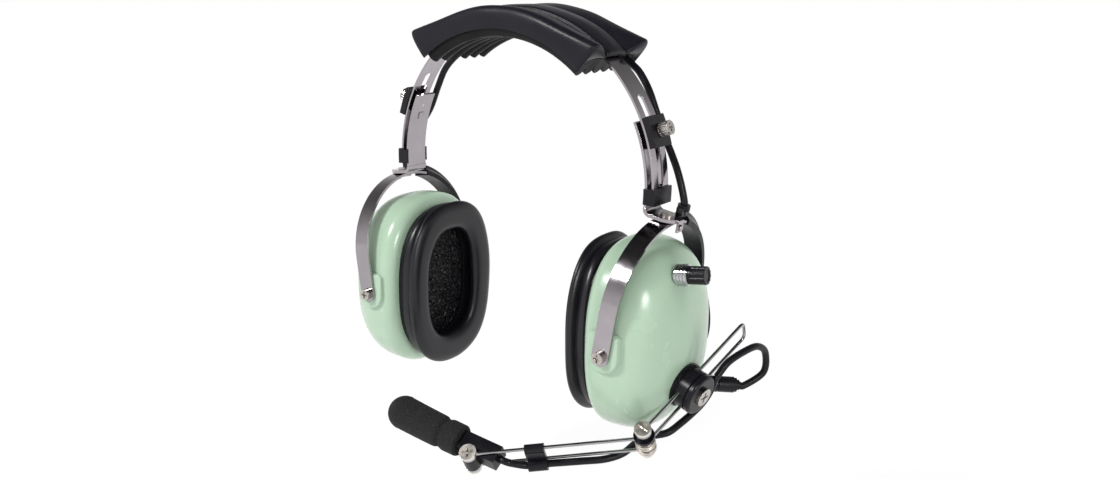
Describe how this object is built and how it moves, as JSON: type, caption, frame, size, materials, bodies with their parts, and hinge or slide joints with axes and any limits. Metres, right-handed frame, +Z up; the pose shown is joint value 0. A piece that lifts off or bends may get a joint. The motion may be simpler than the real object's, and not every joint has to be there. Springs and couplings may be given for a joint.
{
  "type": "aviation headset",
  "caption": "Two-cup aviation headset with a padded spring headband, height slides, swivelling yokes, a volume knob and a jointed wire boom microphone.",
  "frame": {"origin": "midway between the tilt pivots of the two ear cups, which is the middle of the wearer's head at ear height", "axes": "+Z up to the crown, -Y to the wearer's front, +X to the wearer's left, which is the microphone side"},
  "size_m": [0.2393, 0.1326, 0.2351],
  "materials": {
    "polished_steel": "polished spring steel strip",
    "bright_steel": "bright plated screws and rivets",
    "boom_wire": "drawn stainless wire",
    "black_vinyl": "grained black leatherette",
    "seal_vinyl": "smooth black vinyl over foam",
    "pad_foam": "ribbed dark foam under cloth",
    "grey_foam": "open cell foam",
    "windscreen_foam": "open cell charcoal foam",
    "black_plastic": "moulded black plastic",
    "soft_rubber": "soft black rubber",
    "lead_rubber": "semi gloss black lead jacket",
    "green_shell": "glossy pale green shell",
    "ribbed_metal": "turned and ribbed metal neck"
  },
  "bodies": {
    "head_band": {"headband_spring": "polished_steel", "head_pad": "pad_foam", "head_pad_cover": "black_vinyl", "end_guide_left": "black_plastic", "end_guide_right": "black_plastic", "crossover_lead": "lead_rubber"},
    "slider_left": {"slide_strip_left": "polished_steel", "slide_block_left": "black_plastic", "crown_rivet_left": "bright_steel", "lead_tie_left": "soft_rubber", "side_lead_left": "lead_rubber"},
    "thumb_left": {"thumbscrew_left": "bright_steel"},
    "yoke_arm_left": {"yoke_left": "polished_steel", "pivot_screws_left": "bright_steel", "arm_lead_left": "lead_rubber", "arm_sleeve_left": "soft_rubber"},
    "cup_left": {"dome_left": "green_shell", "baffle_plate_left": "black_plastic", "ear_seal_left": "seal_vinyl", "foam_filter_left": "grey_foam", "earphone_left": "black_plastic", "cup_lead_left": "lead_rubber"},
    "slider_right": {"slide_strip_right": "polished_steel", "slide_block_right": "black_plastic", "crown_rivet_right": "bright_steel", "lead_tie_right": "soft_rubber", "side_lead_right": "lead_rubber"},
    "thumb_right": {"thumbscrew_right": "bright_steel"},
    "yoke_arm_right": {"yoke_right": "polished_steel", "pivot_screws_right": "bright_steel", "arm_lead_right": "lead_rubber", "arm_sleeve_right": "soft_rubber"},
    "cup_right": {"dome_right": "green_shell", "baffle_plate_right": "black_plastic", "ear_seal_right": "seal_vinyl", "foam_filter_right": "grey_foam", "earphone_right": "black_plastic", "cup_lead_right": "lead_rubber", "volume_control": "ribbed_metal", "guide_base": "black_plastic", "guide_bolt": "bright_steel", "mic_jack": "black_plastic", "mic_plug": "black_plastic", "mic_lead_loop": "lead_rubber"},
    "knob": {"volume_knob": "black_plastic"},
    "guide": {"boom_guide": "black_plastic"},
    "boom": {"rear_boom": "boom_wire", "wrist_screw": "bright_steel", "wrist_washer": "black_plastic", "mic_lead_boom": "lead_rubber"},
    "front_arm": {"front_boom": "boom_wire", "wrist_spring": "bright_steel", "lead_clip": "black_plastic", "mic_joint_screw": "bright_steel", "mic_lead_wrist": "lead_rubber", "mic_lead_front": "lead_rubber"},
    "microphone": {"mic_body": "black_plastic", "mic_windscreen": "windscreen_foam", "windscreen_band": "soft_rubber"}
  },
  "joints": [
    {"name": "adjust_right", "type": "hinge", "parent": "head_band", "child": "slider_right", "pos_m": [0, 0, 0.076], "axis": [0, 1, 0], "range_deg": [0, 10.5], "deforming": ["side_lead_right"]},
    {"name": "thumbscrew_turn_right", "type": "hinge", "parent": "slider_right", "child": "thumb_right", "pos_m": [0.08397, 0, 0.1084], "axis": [0.933, 0, 0.36], "continuous": true},
    {"name": "yoke_swivel_right", "type": "hinge", "parent": "slider_right", "child": "yoke_arm_right", "pos_m": [0.08998, 0, 0.06372], "axis": [0.1547, 0, 0.988], "range_deg": [-20, 20], "deforming": ["arm_lead_right"]},
    {"name": "cup_tilt_right", "type": "hinge", "parent": "yoke_arm_right", "child": "cup_right", "pos_m": [0.08, 0, 0], "axis": [0, 1, 0], "range_deg": [-15, 15], "deforming": ["cup_lead_right"]},
    {"name": "adjust_left", "type": "hinge", "parent": "head_band", "child": "slider_left", "pos_m": [0, 0, 0.076], "axis": [0, -1, 0], "range_deg": [0, 10.5], "deforming": ["side_lead_left"]},
    {"name": "thumbscrew_turn_left", "type": "hinge", "parent": "slider_left", "child": "thumb_left", "pos_m": [-0.08397, 0, 0.1084], "axis": [-0.933, 0, 0.36], "continuous": true},
    {"name": "yoke_swivel_left", "type": "hinge", "parent": "slider_left", "child": "yoke_arm_left", "pos_m": [-0.08998, 0, 0.06372], "axis": [-0.1547, 0, 0.988], "range_deg": [-20, 20], "deforming": ["arm_lead_left"]},
    {"name": "cup_tilt_left", "type": "hinge", "parent": "yoke_arm_left", "child": "cup_left", "pos_m": [-0.08, 0, 0], "axis": [0, 1, 0], "range_deg": [-15, 15], "deforming": ["cup_lead_left"]},
    {"name": "volume_turn", "type": "hinge", "parent": "cup_right", "child": "knob", "pos_m": [0.1015, -0.008, 0.0385], "axis": [0.9848, 0.1035, 0.1392], "range_deg": [-140, 140]},
    {"name": "boom_turn", "type": "hinge", "parent": "cup_right", "child": "guide", "pos_m": [0.1063, -0.004, -0.02], "axis": [0.956, -0.1005, -0.2756], "range_deg": [-25, 95], "deforming": ["mic_lead_loop"]},
    {"name": "boom_slide", "type": "slide", "parent": "guide", "child": "boom", "axis": [-0.237, -0.8184, -0.5235], "range_m": [-0.008, 0.03], "deforming": ["mic_lead_boom"]},
    {"name": "wrist_turn", "type": "hinge", "parent": "boom", "child": "front_arm", "pos_m": [0.10207, -0.03391, -0.04009], "axis": [0.173, -0.5658, 0.8062], "range_deg": [-15, 60], "deforming": ["mic_lead_wrist"]},
    {"name": "mic_turn", "type": "hinge", "parent": "front_arm", "child": "microphone", "pos_m": [0.02433, -0.07518, -0.05981], "axis": [0.173, -0.5658, 0.8062], "range_deg": [-45, 60], "deforming": ["mic_lead_front"]}
  ]
}
